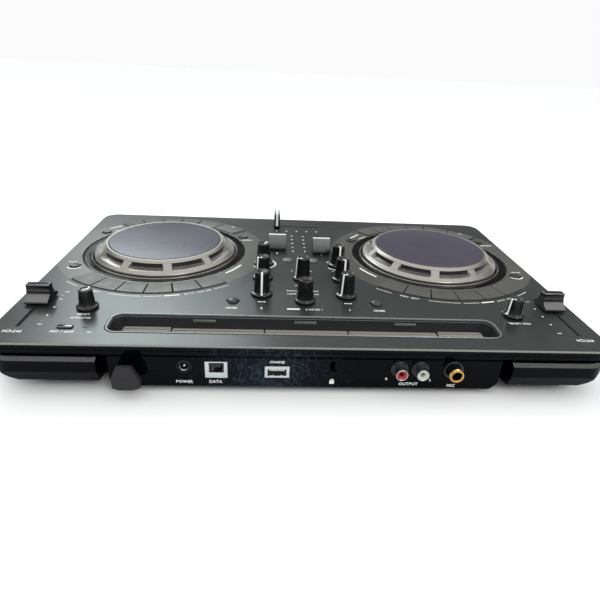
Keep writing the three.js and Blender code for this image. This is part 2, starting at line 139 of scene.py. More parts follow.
soft_lamp("far_side_window", (0.58, -1.45, 1.22), (0.04, 0, 0), 0.85, 14, "#eaf8f7")
soft_lamp("camera_side_fill", (-0.7, 1.3, 1.2), (0, 0, 0), 0.5, 7)
bpy.context.scene.view_settings.view_transform = "Standard"


# ---------------------------------------------------------------- bottom case
# The bottom case is black ABS moulded in a polished tool, so it mirrors the room and shows fine swirl marks
# from cleaning. Round the USB socket a glare is painted onto them, as paler lines and a pale haze. Its rear
# has two stepped-out wings and a flat face for the sockets between them.
def blank_material(name, metallic=0.0, **sockets):
    """A Principled material. Its other shader sockets are named with underscores for spaces."""
    made = bpy.data.materials.new(name)
    made.use_nodes = True
    shader = made.node_tree.nodes["Principled BSDF"]
    shader.inputs["Metallic"].default_value = metallic
    for socket, value in sockets.items():
        shader.inputs[socket.replace("_", " ")].default_value = value
    return made


def material(name, color, clouds, rough, metallic=0.0, grain=None, detail=4.0, **sockets):
    """A material of one colour whose roughness drifts between the two values of rough in cloudy noise. clouds
    gives the noise's size in millimetres and how broken it is, and grain the size and height in millimetres
    of the fine bumps that a mould or a spray gun leaves."""
    made = blank_material(name, metallic, **sockets)
    tree = made.node_tree
    shader = tree.nodes["Principled BSDF"]
    shader.inputs["Base Color"].default_value = linear(color)
    place = add(tree, "ShaderNodeTexCoord").outputs["Object"]
    noise = add(tree, "ShaderNodeTexNoise", {"Vector": place, "Scale": 1000 / clouds[0], "Detail": detail,
                                             "Roughness": clouds[1]})
    drift = add(tree, "ShaderNodeMapRange", {"Value": noise.outputs["Fac"], "From Min": 0.3, "From Max": 0.7,
                                             "To Min": rough[0], "To Max": rough[1]})
    tree.links.new(drift.outputs["Result"], shader.inputs["Roughness"])
    if grain:
        bumps = add(tree, "ShaderNodeTexNoise", {"Vector": place, "Scale": 1000 / grain[0], "Detail": 3.0})
        relief = add(tree, "ShaderNodeBump", {"Height": bumps.outputs["Fac"], "Distance": grain[1] / 1000})
        tree.links.new(relief.outputs["Normal"], shader.inputs["Normal"])
    return made


def mixed(tree, share, first, second):
    """Mixes two colours or colour sockets by a share."""
    mix = add(tree, "ShaderNodeMix", data_type="RGBA")
    for index, value in ((0, share), (6, first), (7, second)):
        if isinstance(value, bpy.types.NodeSocket):
            tree.links.new(value, mix.inputs[index])
        else:
            mix.inputs[index].default_value = value
    return mix.outputs[2]


def mathed(tree, operation, *values):
    """One math node over values or sockets."""
    return add(tree, "ShaderNodeMath", dict(enumerate(values)), operation=operation).outputs[0]


def swirl_marks(made, low, high):
    """Hair-thin curved scratches from cleaning, along which the roughness rises from low to high. They are
    the level lines of three slow noises, |noise - 1/2| < a hair, and the function returns them."""
    tree = made.node_tree
    place = add(tree, "ShaderNodeTexCoord").outputs["Object"]
    total = 0.0
    for scale, hair in ((55.0, 0.005), (90.0, 0.007), (140.0, 0.009)):
        noise = add(tree, "ShaderNodeTexNoise", {"Vector": place, "Scale": scale, "Detail": 1.0})
        total = mathed(tree, "MAXIMUM", total, mathed(tree, "COMPARE", noise.outputs["Fac"], 0.5, hair))
    level = add(tree, "ShaderNodeMapRange", {"Value": total, "To Min": low, "To Max": high})
    tree.links.new(level.outputs["Result"], tree.nodes["Principled BSDF"].inputs["Roughness"])
    return total


SHARP = 33  # degrees: edges sharper than this are rounded or drawn as edges


def soften(made, width, angle=SHARP):
    """Rounds a piece's sharp edges with a bevel of that width, as a mould or a file would leave them."""
    bevel = made.modifiers.new("edge_rounding", "BEVEL")
    bevel.width = width / 1000
    bevel.segments = 3
    bevel.limit_method = "ANGLE"
    bevel.angle_limit = math.radians(angle)
    bevel.harden_normals = False


def finish_node(name, finish, rounding=0.0):
    """Gives a CAD node its finish. To round its edges, loose triangles are welded and flat ones joined."""
    made = frame["nodes"][name]
    made.data.materials.clear()
    made.data.materials.append(finish)
    if rounding:
        weld = made.modifiers.new("weld", "WELD")
        weld.merge_threshold = 1e-5
        flat = made.modifiers.new("join_flat", "DECIMATE")
        flat.decimate_type = "DISSOLVE"
        flat.angle_limit = math.radians(1)
        soften(made, rounding)


def upward(tree):
    """How far a face looks up: the Z of its normal, which is the sine of its slope from upright."""
    normal = add(tree, "ShaderNodeNewGeometry").outputs["Normal"]
    return add(tree, "ShaderNodeSeparateXYZ", {"Vector": normal}).outputs["Z"]


def mirror_upward(made, upright, level):
    """Raises the specular level from upright faces to ones that look up by 9 to 37 degrees or more."""
    tree = made.node_tree
    sheen = add(tree, "ShaderNodeMapRange", {"Value": upward(tree), "From Min": 0.16, "From Max": 0.6,
                                             "To Min": upright, "To Max": level})
    tree.links.new(sheen.outputs["Result"], tree.nodes["Principled BSDF"].inputs["Specular IOR Level"])


def scratches_and_painted_glare(made, lines, centre, reach_mm, bare, pale_scratch_and_glare):
    """Paints a glare over real scratches: pales the scratch lines and adds a faint haze round a centre,
    fading out reach_mm from there. The share of the paler colour is line * nearness + nearness ** 2."""
    tree = made.node_tree
    place = add(tree, "ShaderNodeTexCoord").outputs["Object"]
    away = add(tree, "ShaderNodeVectorMath", {0: place, 1: tuple(c / 1000 for c in centre)},
               operation="DISTANCE")
    near = add(tree, "ShaderNodeMapRange", {"Value": away.outputs["Value"], "From Min": reach_mm / 1000,
                                            "From Max": 0.0, "To Max": 0.3}).outputs["Result"]
    share = mathed(tree, "MULTIPLY_ADD", lines, near, mathed(tree, "POWER", near, 2.0))
    tree.links.new(mixed(tree, share, linear(bare), linear(pale_scratch_and_glare)),
                   tree.nodes["Principled BSDF"].inputs["Base Color"])


gloss_abs = blank_material("polished_black_abs")
mirror_upward(gloss_abs, 0.06, 0.8)
# The painted glare is centred on the USB socket: its place is measured from the object's own origin, on the
# floor.
PAINTED_GLARE_CENTRE = (27.0, 130.5, 11.0)
scratches_and_painted_glare(gloss_abs, swirl_marks(gloss_abs, 0.08, 0.3), PAINTED_GLARE_CENTRE, 60.0, "#030408", "#5a6c80")
finish_node("bottom_case", gloss_abs, 0.7)


# ---------------------------------------------------------------- upper frame
# A gloss black band runs round under the panel. It is moulded in two steps with a shallow groove between
# them, and screws hold it to the bottom case from inside.
PANEL_LOW, PANEL_HIGH = (np.array(corner) * 1000 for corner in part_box("top_panel"))
ORIGIN = np.array([0.0, PANEL_HIGH[1], PANEL_HIGH[2]])
HALF_WIDTH = PANEL_HIGH[0]
DEPTH = PANEL_HIGH[1] - PANEL_LOW[1]
CORNER = 13.0


def arc(cx, cy, radius, start, end, steps):
    """Points on an arc from start to end degrees: centre plus radius times (cos, sin)."""
    angles = np.radians(np.linspace(start, end, steps + 1))
    return np.stack([cx + radius * np.cos(angles), cy + radius * np.sin(angles)], 1)


def rounded_rectangle(x0, x1, y0, y1, radius, steps=8):
    """An anticlockwise outline of four straight edges joined by quarter circles."""
    r = max(radius, 1e-3)
    return np.concatenate([
        arc(x1 - r, y0 + r, r, -90, 0, steps), arc(x1 - r, y1 - r, r, 0, 90, steps),
        arc(x0 + r, y1 - r, r, 90, 180, steps), arc(x0 + r, y0 + r, r, 180, 270, steps)])


def lifted(outline, z):
    """A flat outline at height z."""
    return np.concatenate([outline, np.full((len(outline), 1), float(z))], 1)


def shell(rings, looped=False):
    """A closed skin through rings of equal length, each joined to the next. A looped one meets its own start,
    and any other is capped at both ends."""
    rings = np.asarray(rings, float)
    count, size = rings.shape[:2]
    rows = np.arange(count if looped else count - 1)[:, None]
    here = np.arange(size)[None, :]
    after = (here + 1) % size
    above = (rows + 1) % count
    faces = np.stack([rows * size + here, rows * size + after, above * size + after, above * size + here], 2)
    faces = faces.reshape(-1, 4).tolist()
    if not looped:
        faces += [list(range(size))[::-1], list(range((count - 1) * size, count * size))]
    return rings.reshape(-1, 3), faces


def joined(*solids):
    """Several solids as one list of points and faces."""
    points, faces, base = [], [], 0
    for solid_points, solid_faces in solids:
        points.append(np.asarray(solid_points, float))
        faces += [[base + i for i in face] for face in solid_faces]
        base += len(solid_points)
    return np.concatenate(points), faces


def build(name, solid, body, finish, replaces=(), rounding=0.0, angle=SHARP):
    """Makes a piece from points in millimetres and faces: doubles merged, faces turned outwards, smooth but
    for edges sharper than the angle, riding on its body."""
    points, faces = solid
    shape = bmesh.new()
    mesh = bpy.data.meshes.new(name)
    mesh.from_pydata((np.asarray(points) + ORIGIN) / 1000, [], faces)
    shape.from_mesh(mesh)
    bmesh.ops.remove_doubles(shape, verts=shape.verts, dist=2e-7)
    bmesh.ops.dissolve_degenerate(shape, edges=shape.edges, dist=1e-8)
    bmesh.ops.recalc_face_normals(shape, faces=shape.faces)
    shape.to_mesh(mesh)
    shape.free()
    mesh.polygons.foreach_set("use_smooth", np.ones(len(mesh.polygons), bool))
    mesh.set_sharp_from_angle(angle=math.radians(angle))
    made = bpy.data.objects.new(name, mesh)
    bpy.context.scene.collection.objects.link(made)
    mesh.materials.append(finish)
    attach(made, body)
    if replaces:
        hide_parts(*replaces)
    if rounding:
        soften(made, rounding, angle)
    return made


def carried_round(profile):
    """A closed profile of (inset, height) points carried round the panel's outline, inset by inset."""
    rings = [lifted(rounded_rectangle(-HALF_WIDTH + inset, HALF_WIDTH - inset, -DEPTH + inset, -inset,
                                      CORNER - inset, 12), z) for inset, z in profile]
    return shell(rings, looped=True)


def extent(name):
    """The low and high corners of a CAD node's box, in millimetres from the sections' zero."""
    return [np.array(corner) * 1000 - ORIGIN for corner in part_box(name)]


band = [(0.9, -2.0), (0.75, -2.3), (0.75, -4.6), (1.15, -4.8), (1.15, -5.1), (0.8, -5.3), (0.8, -8.3),
        (1.1, -8.7), (3.7, -8.7), (3.7, -1.8), (1.2, -1.8)]
build("upper_frame_band", carried_round(band), "chassis", gloss_abs, ["upper_frame"])


# ---------------------------------------------------------------- top panel
# One flat moulding sprayed in dark grey-green satin paint with fine dust on it. The rings round the wheels
# are sprayed warmer and greyer through a mask. The faces that turn down over the edge are coloured silver,
# a painted highlight along the edge.
DECKS = {"right": 1, "left": -1}
WHEEL_X, WHEEL_Y = np.mean(extent("jog_plate_right"), 0)[:2]
RING_OUTER = 93.4


def panel_paint():
    """Satin paint: two tones of grey-green by slow noise, discs of warm grey where the distance from a
    wheel's centre is under the ring's radius, dust as the middles of sparse Voronoi cells, and a painted
    highlight of partly metallic silver where the face turns down over the edge."""
    made = blank_material("satin_grey_green_paint")
    tree = made.node_tree
    shader = tree.nodes["Principled BSDF"]
    place = add(tree, "ShaderNodeTexCoord").outputs["Object"]
    axes = add(tree, "ShaderNodeSeparateXYZ", {"Vector": place})
    across = mathed(tree, "SUBTRACT", mathed(tree, "ABSOLUTE", axes.outputs["X"]), WHEEL_X / 1000)
    along = mathed(tree, "SUBTRACT", axes.outputs["Y"], (WHEEL_Y + ORIGIN[1]) / 1000)
    reach = mathed(tree, "SQRT", mathed(tree, "ADD", mathed(tree, "POWER", across, 2.0),
                                        mathed(tree, "POWER", along, 2.0)))
    ring = mathed(tree, "LESS_THAN", reach, RING_OUTER / 1000)
    clouds = add(tree, "ShaderNodeTexNoise", {"Vector": place, "Scale": 14.0, "Detail": 5.0}).outputs["Fac"]
    paint = mixed(tree, clouds, linear("#191e1c"), linear("#232927"))
    warm = mixed(tree, clouds, linear("#42413d"), linear("#4b4a46"))
    color = mixed(tree, ring, paint, warm)
    cells = add(tree, "ShaderNodeTexVoronoi", {"Vector": place, "Scale": 420.0}, feature="F1")
    speck = mathed(tree, "LESS_THAN", cells.outputs["Distance"], 0.13)
    chance = mathed(tree, "GREATER_THAN",
                    add(tree, "ShaderNodeSeparateXYZ", {"Vector": cells.outputs["Color"]}).outputs["X"], 0.86)
    drift = add(tree, "ShaderNodeTexNoise", {"Vector": place, "Scale": 9.0, "Detail": 2.0}).outputs["Fac"]
    dusty = add(tree, "ShaderNodeMapRange", {"Value": drift, "From Min": 0.42, "From Max": 0.62}).outputs[0]
    dust = mathed(tree, "MULTIPLY", mathed(tree, "MULTIPLY", speck, chance), dusty)
    color = mixed(tree, mathed(tree, "MULTIPLY", dust, 0.55), color, linear("#9fa8a2"))
    # A painted highlight: faces turning down over the edge get a silver colour and some metal, by their
    # normal.
    edge_highlight = add(tree, "ShaderNodeMapRange", {"Value": upward(tree), "From Min": 0.85,
                                            "From Max": 0.6}).outputs["Result"]
    tree.links.new(mathed(tree, "MULTIPLY", edge_highlight, 0.6), shader.inputs["Metallic"])
    color = mixed(tree, edge_highlight, color, linear("#85857f"))
    tree.links.new(color, shader.inputs["Base Color"])
    rough = add(tree, "ShaderNodeMapRange", {"Value": clouds, "From Min": 0.3, "From Max": 0.7,
                                             "To Min": 0.25, "To Max": 0.33}).outputs[0]
    tree.links.new(rough, shader.inputs["Roughness"])
    fine = add(tree, "ShaderNodeTexNoise", {"Vector": place, "Scale": 2200.0, "Detail": 2.0}).outputs["Fac"]
    bump = add(tree, "ShaderNodeBump", {"Height": fine, "Distance": 0.00002, "Strength": 0.5})
    tree.links.new(bump.outputs["Normal"], shader.inputs["Normal"])
    return made


finish_node("top_panel", panel_paint(), 0.3)


# ---------------------------------------------------------------- printed marks
# White ink screened onto the panel: level ticks, dots, arcs behind the pads, and short generic words. The
# film is a few hundredths of a millimetre thick. All words read from the user's side, at the front.
INK = 0.05
white_ink = material("white_screen_ink", "#e9e9e4", (1.2, 0.7), (0.4, 0.7))


def prism(outline, low, high):
    """A flat outline raised from one height to another."""
    return shell([lifted(outline, low), lifted(outline, high)])


def bar(x, y, width, depth, turn=0.0, low=0.0, high=INK, corner=0.25):
    """A small rounded bar printed about (x, y), turned by degrees."""
    round_off = min(corner, width / 2, depth / 2)
    outline = rounded_rectangle(-width / 2, width / 2, -depth / 2, depth / 2, round_off, 3)
    c, s = math.cos(math.radians(turn)), math.sin(math.radians(turn))
    return prism(outline @ np.array([[c, s], [-s, c]]) + (x, y), low, high)


def dot(x, y, radius):
    """A small round dot."""
    return prism(arc(x, y, radius, 0, 360 * 15 / 16, 15), 0.0, INK)


def sector(cx, cy, inner, outer, start, end, steps=None):
    """The outline of a ring sector between two radii and two angles in degrees."""
    steps = steps or max(4, int(abs(end - start) / 1.5))
    return np.concatenate([arc(cx, cy, outer, start, end, steps), arc(cx, cy, inner, end, start, steps)])


def lettering(text, cap, at, across=(1, 0, 0), up=(0, 1, 0)):
    """A short word centred at a point, as thin solid letters. across and up are its two directions."""
    curve = bpy.data.curves.new("word", "FONT")
    curve.body = text
    curve.align_x = "CENTER"
    curve.align_y = "CENTER"
    curve.size = cap / 0.72
    curve.space_character = 1.08
    curve.extrude = INK / 2
    curve.offset = cap * 0.03
    curve.resolution_u = 2
    word = bpy.data.objects.new("word", curve)
    bpy.context.scene.collection.objects.link(word)
    flat = bpy.data.meshes.new_from_object(word.evaluated_get(bpy.context.evaluated_depsgraph_get()))
    points = np.array([v.co for v in flat.vertices]).reshape(-1, 3)
    faces = [list(p.vertices) for p in flat.polygons]
    bpy.data.objects.remove(word)
    bpy.data.curves.remove(curve)
    bpy.data.meshes.remove(flat)
    out = np.cross(across, up)
    basis = np.array([across, up, out], float)
    points[:, 2] += INK / 2
    return points @ basis + np.asarray(at, float), faces


def round_word(text, cap, cx, cy, radius, angle):
    """A word on an arc round (cx, cy), letter by letter along it, its middle at the angle."""
    step = math.degrees(cap * 0.92 / radius)
    letters = []
    for index, letter in enumerate(text):
        if letter == " ":
            continue
        place = math.radians(angle - (index - (len(text) - 1) / 2) * step)
        out = np.array([math.cos(place), math.sin(place), 0.0])
        letters.append(lettering(letter, cap, np.array([cx, cy, 0.0]) + radius * out,
                                 across=(out[1], -out[0], 0), up=tuple(out)))
    return joined(*letters)


marks = []
for sign in (1, -1):
    marks += [bar(sign * 180.9, y, 3.2, 0.7) for y in (-23.8, -73.4)]
    marks += [dot(sign * 180.9, y, 0.75) for y in (-36.2, -48.6, -61.0)]
    marks.append(lettering("PITCH", 3.0, (sign * 194.5, -14.5, 0)))
    marks.append(bar(sign * 21, -165.4, 1.0, 3.8))
    marks.append(lettering("SEND", 2.4, (sign * 55.4, -52.8, 0)))
    marks.append(lettering("1" if sign < 0 else "2", 2.8, (sign * 33.2, -53.2, 0)))
    marks += [bar(sign * 33.2, -63.5, 2.6, 1.0), *(dot(sign * 33.2 + o, -63.5, 0.8) for o in (-2.2, 2.2))]
    marks.append(prism(np.concatenate([arc(sign * 33.2, -139, 11.2, 35, 325, 40),
                                       arc(sign * 33.2, -139, 9.9, 325, 35, 40)]), 0, INK))
    marks += [dot(sign * 8.3, -124.5, 0.7), bar(sign * 27.9, -125.4, 1.6, 0.9, 45)]
    marks += [lettering("MODE" if sign > 0 else "ON", 2.0, (sign * 9.6, -84.1, 0)),
              lettering("SHIFT" if sign > 0 else "FX", 2.0, (sign * 9.9, -78.6, 0))]
    x, y = sign * WHEEL_X, WHEEL_Y
    for start, end, thick in ((49.3, 57.4, 0.5), (74.8, 89.6, 0.5), (90.9, 98.8, 0.5), (99.8, 106.6, 1.5),
                              (122.8, 130.8, 0.5)):
        marks.append(prism(sector(x, y, 98 - thick / 2, 98 + thick / 2, start, end), 0, INK))
    marks.append(round_word("LOOP MODE", 1.9, x, y, 98, 66))
    marks.append(round_word("CUE ROLL SLICE", 1.7, x, y, 98, 115))
    pill = (139.6, 155.9) if sign > 0 else (24.1, 40.4)
    marks.append(prism(sector(x, y, 77.2, 78.9, *pill), 0, INK))
marks += [lettering("OUTPUT", 2.4, (157.5, -33.8, 0)), lettering("LEVEL", 2.4, (157.5, -38.8, 0)),
          lettering("MIC LEVEL", 2.5, (-157.4, -37.2, 0)), lettering("OFF / ON", 2.5, (163, -14.9, 0)),
          bar(145.4, -14.5, 3.0, 0.8), bar(-152.8, -55.8, 2.0, 0.8), bar(182.4, -67.3, 0.8, 0.8),
          bar(9.3, -52.7, 9.6, 2.0), lettering("/ SELECT", 2.3, (-6.0, -52.6, 0)), bar(5.6, -94.2, 1.8, 0.9)]
marks += [dot(x, -230.8, 0.95) for x in (-21.2, -10.6, 0.0, 10.6, 21.2)]
build("printed_marks", joined(*marks), "chassis", white_ink)

# Black strips along the rear pads' outer edge and across each end of the front row are painted shade of the
# dark gaps round the pads.
pad_gap_shade_black = material("black_painted_gap_shade", "#0b0b0c", (1.5, 0.6), (0.4, 0.6))
lines = []
for sign in (1, -1):
    x, y = sign * WHEEL_X, WHEEL_Y
    lines.append(prism(sector(x, y, 93.3, 94.6, 48.3, 131.8), 0, INK))
    for angle in (-50.2, -139.6):
        lines.append(prism(sector(x, y, 74.6, 94.4, angle - 0.55, angle + 0.55), 0, INK))
build("painted_pad_gap_shade", joined(*lines), "chassis", pad_gap_shade_black)


# ---------------------------------------------------------------- tablet slot
# A dark ABS tub is pushed up through the panel, and a painted silver-grey lip rings its mouth. Small light
# pads on its front wall and a ribbed rubber strip on its floor stop a tablet from sliding.
tray_low, tray_high = extent("slot_tray")


def slot_outline(inset):
    """The slot's rounded outline, moved in by the inset."""
    return rounded_rectangle(tray_low[0] + inset, tray_high[0] - inset, tray_low[1] + inset,
                             tray_high[1] - inset, 8.7 - inset, 10)


tub_abs = material("satin_dark_abs", "#2a2b2d", (5.0, 0.6), (0.3, 0.5), grain=(0.5, 0.02))
tub_rings = [(0.4, -0.25), (0.4, tray_low[2] + 0.6), (1.0, tray_low[2]), (3.0, tray_low[2] + 0.4),
             (2.6, -10.6), (2.1, -9.8), (2.1, -0.25)]
tub_walls = shell([lifted(slot_outline(inset), z) for inset, z in tub_rings], looped=True)
tub_floor = prism(slot_outline(2.2), tray_low[2] + 0.2, -11.0)
build("slot_tub", joined(tub_walls, tub_floor), "chassis", tub_abs, ["slot_tray"])

lip_paint = material("silver_grey_paint", "#787b7a", (2.0, 0.6), (0.22, 0.42), 0.5)
lip_rings = [(0.35, -0.6), (0.35, 0.2), (0.55, 0.45), (1.0, 0.5), (1.5, 0.3), (1.9, -0.6), (2.25, -1.6),
             (1.9, -1.8), (0.6, -0.9)]
build("slot_lip", shell([lifted(slot_outline(inset), z) for inset, z in lip_rings], looped=True), "chassis",
      lip_paint)

strip_rubber = material("grey_strip_rubber", "#8c8882", (1.0, 0.7), (0.65, 0.85), grain=(0.6, 0.05))
strips = []
for x0, x1, top in ((97, 130, -9.0), (31, 96, -9.9), (-30, 30, -9.9), (-96, -31, -9.9), (-130, -97, -9.0)):
    strips.append(prism(rounded_rectangle(x0, x1, -38.6, -19.4, 1.2, 3), -11.0, top))
    for rib in range(5):
        y = -36.4 + rib * 3.7
        strips.append(prism(rounded_rectangle(x0 + 1, x1 - 1, y, y + 1.6, 0.5, 2), top - 0.3, top + 0.7))
build("slot_rubber_strips", joined(*strips), "chassis", strip_rubber, rounding=0.2)
tabs = [prism(rounded_rectangle(x - 8.2, x + 8.2, -39.9, -38.7, 0.4, 2), -5.0, -3.0)
        for x in (73.5, 1.0, -72.5)]
build("slot_wall_pads", joined(*tabs), "chassis", lip_paint, rounding=0.3)


# ---------------------------------------------------------------- light rings
# Round each wheel lies a smoked polycarbonate light guide. It is clear enough to glow when lit, and looks
# glossy black when off. A thin metallised ring parts it from the wheel, and another edges the well.
def turned(profile, cx, cy, steps=180, wave=None):
    """A closed solid turned about a vertical axis: every (radius, height) point of the profile goes round the
    circle. wave(angle, radius, height) may change the radius as it goes."""
    profile = np.asarray(profile, float)
    angles = np.linspace(0, 2 * np.pi, steps, endpoint=False)
    radius = np.repeat(profile[:, :1], steps, 1)
    height = np.repeat(profile[:, 1:], steps, 1)
    if wave:
        radius = wave(angles[None, :], radius, height)
    rings = np.stack([cx + radius * np.cos(angles), cy + radius * np.sin(angles), height], 2)
    on_axis = profile[0, 0] < 1e-6 and profile[-1, 0] < 1e-6
    points, faces = shell(rings, looped=not on_axis)
    if on_axis:
        faces = faces[:-2]
    return points, faces


def eased(profile, radius=0.4, steps=4, looped=False):
    """A profile whose corners are replaced by short quadratic curves that start the radius before them."""
    points = np.asarray(profile, float)
    count = len(points)
    made = []
    for i in range(count):
        if not looped and i in (0, count - 1):
            made.append(points[i])
            continue
        here, before, after = points[i], points[i - 1], points[(i + 1) % count]
        a, b = before - here, after - here
        la, lb = np.linalg.norm(a), np.linalg.norm(b)
        start = here + a / la * min(radius, la * 0.45)
        end = here + b / lb * min(radius, lb * 0.45)
        t = np.linspace(0, 1, steps + 1)[:, None]
        made += list((1 - t) ** 2 * start + 2 * t * (1 - t) * here + t ** 2 * end)
    return np.array(made)


smoked = material("smoked_polycarbonate", "#0a0a0b", (30.0, 0.7), (0.07, 0.22), Specular_IOR_Level=0.12)
ring_metal = material("metallised_ring", "#6d6a66", (2.0, 0.5), (0.15, 0.35), 0.9)
for side, sign in DECKS.items():
    x = sign * WHEEL_X
    guide = eased([(64.6, -5.3), (72.6, -5.3), (72.6, -0.9), (71.9, -0.5), (66.6, -0.7), (65.9, -1.1),
                   (64.6, -1.3)], 0.3, looped=True)
    build(f"light_ring_smoked_{side}", turned(guide, x, WHEEL_Y), "chassis", smoked,
          [f"light_ring_{side}"])
    trim = eased([(64.0, -1.6), (65.9, -1.6), (65.9, -0.5), (65.1, 0.1), (64.3, -0.2), (64.0, -0.8)], 0.3,
                 looped=True)
    build(f"light_ring_trim_{side}", turned(trim, x, WHEEL_Y), "chassis", ring_metal)
    edge = eased([(72.7, -2.4), (73.0, -0.3), (73.2, 0.12), (73.9, 0.12), (74.0, -0.1), (73.4, -2.4)], 0.2,
                 looped=True)
    build(f"wheel_well_edge_{side}", turned(edge, x, WHEEL_Y), "chassis", ring_metal)


# ---------------------------------------------------------------- jog wheels
# Each wheel is moulded ABS in warm metallic paint, with ten windows sunk in its sloping side for the fingers.
# The windows' back walls are given a dark gloss, which is painted shade in the recesses. A round touch plate
# with a fine satin finish lies in its top and senses the hand.
wheel_paint = material("warm_metallic_paint", "#97948e", (8.0, 0.5), (0.28, 0.38), 0.85, grain=(0.5, 0.002))
window_painted_shade = material("painted_window_shade", "#4c4a4e", (8.0, 0.6), (0.1, 0.25), 0.6)
WINDOWS, RIB_SHARE = 10, 0.21
BACK_WALL = 54.5  # radius of the windows' upright back wall


def smooth_step(value, low, high):
    """0 below low, 1 above high, and 3t^2 - 2t^3 between them."""
    t = np.clip((value - low) / (high - low), 0, 1)
    return t * t * (3 - 2 * t)


def wheel_rim(x, turn_degrees):
    """The rim as a grid of turns and profile stations. In a window, the slope's points move straight
    inwards to the back wall, and below it they run out again as a ledge."""
    steps = 720
    slope_start, slope_end = np.array([53.2, 9.9]), np.array([61.2, 2.6])
    above = eased([(0, 9.2), (50.25, 9.2), (50.35, 10.7), (52.0, 10.75), slope_start], 0.35)
    side_share = np.linspace(0, 1, 61)[1:-1, None]
    side = slope_start + (slope_end - slope_start) * side_share
    below = eased([slope_end, (62.4, 1.9), (62.9, 1.2), (62.9, 0.2), (62.3, -0.2), (62.3, -1.0), (62.8, -1.5),
                   (62.8, -4.5), (60.2, -4.9), (56.0, -1.0), (46.0, 6.7), (6.0, 6.7), (6.0, -12), (0, -12)],
                  0.3)
    profile = np.concatenate([above, side, below])
    share = np.concatenate([np.full(len(above), -1), side_share[:, 0], np.full(len(below), -1)])[:, None]
    angles = np.linspace(0, 2 * np.pi, steps, endpoint=False)
    cell = ((np.degrees(angles) - turn_degrees) * WINDOWS / 360 + 0.5) % 1.0 - 0.5
    edge = 0.5 - RIB_SHARE / 2
    across = 1 - smooth_step(np.abs(cell), edge - 0.012, edge)
    wall = smooth_step(share, 0.15, 0.175) * (1 - smooth_step(share, 0.72, 0.88))
    wall[share < 0] = 0
    inside = wall * across[None, :]
    radius = profile[:, :1] - inside * np.maximum(profile[:, :1] - BACK_WALL, 0.0)
    height = np.repeat(profile[:, 1:], steps, 1)
    rings = np.stack([x + radius * np.cos(angles), WHEEL_Y + radius * np.sin(angles), height], 2)
    points, faces = shell(rings)
    return points, faces[:-2]


plate_finish = material("satin_touch_plate", "#3e3a49", (60.0, 0.3), (0.24, 0.3), 0.15, detail=1.0)
for side, sign in DECKS.items():
    x = sign * WHEEL_X
    rim = build(f"jog_wheel_rim_{side}", wheel_rim(x, 12 if sign > 0 else 26), f"jog_{side}", wheel_paint,
                [f"jog_wheel_{side}"], angle=50)
    rim.data.materials.append(window_painted_shade)
    centres = np.array([p.center for p in rim.data.polygons]) * 1000 - ORIGIN
    reach = np.hypot(centres[:, 0] - x, centres[:, 1] - WHEEL_Y)
    # The back walls inside the windows get the dark material: painted shade in the recesses.
    back = (np.abs(reach - BACK_WALL) < 0.25) & (centres[:, 2] > 3.5) & (centres[:, 2] < 8.6)
    rim.data.polygons.foreach_set("material_index", back.astype(np.int32))
    plate = eased([(0, 9.6), (50.0, 9.6), (50.0, 10.75), (49.6, 10.98), (0, 11.0)], 0.25)
    build(f"jog_touch_plate_{side}", turned(plate, x, WHEEL_Y, 240), f"jog_{side}", plate_finish,
          [f"jog_plate_{side}"])


# ---------------------------------------------------------------- pads and keys
# Six hard pads lie behind each wheel and, in front, play and cue beside four soft performance pads. The soft
# ones are one silicone mat with the deck's three small round keys. All rise just above the panel.
silicone = material("warm_grey_silicone", "#454440", (6.0, 0.6), (0.5, 0.7), grain=(0.4, 0.02))
pad_abs = material("satin_warm_grey_abs", "#444440", (9.0, 0.6), (0.36, 0.5), grain=(0.4, 0.01))
PAD_INNER, PAD_OUTER, PAD_TOP = 75.1, 93.0, 0.8
PAD_GAP = 0.3  # degrees left free at each side of a pad


def pad(x, start, end, low=-6.0):
    """A pad as levels of a sector outline: straight sides, then inward steps round its top edge."""
    levels = [(low, 0.0), *((PAD_TOP - drop, inset) for drop, inset in
                            ((0.35, 0.0), (0.12, 0.08), (0.03, 0.2), (0.0, 0.4)))]
    middle = (PAD_INNER + PAD_OUTER) / 2
    rings = []
    for z, inset in levels:
        trim = PAD_GAP + math.degrees(inset / middle)
        outline = sector(x, WHEEL_Y, PAD_INNER + inset, PAD_OUTER - inset, start + trim, end - trim, 8)
        rings.append(lifted(outline, z))
    return shell(rings)


key_abs = material("satin_black_key", "#0f1011", (2.0, 0.6), (0.25, 0.45))


def around(x, reach, angle):
    """The point at a reach and an angle in degrees from the middle of the wheel at x."""
    return x + reach * math.cos(math.radians(angle)), WHEEL_Y + reach * math.sin(math.radians(angle))


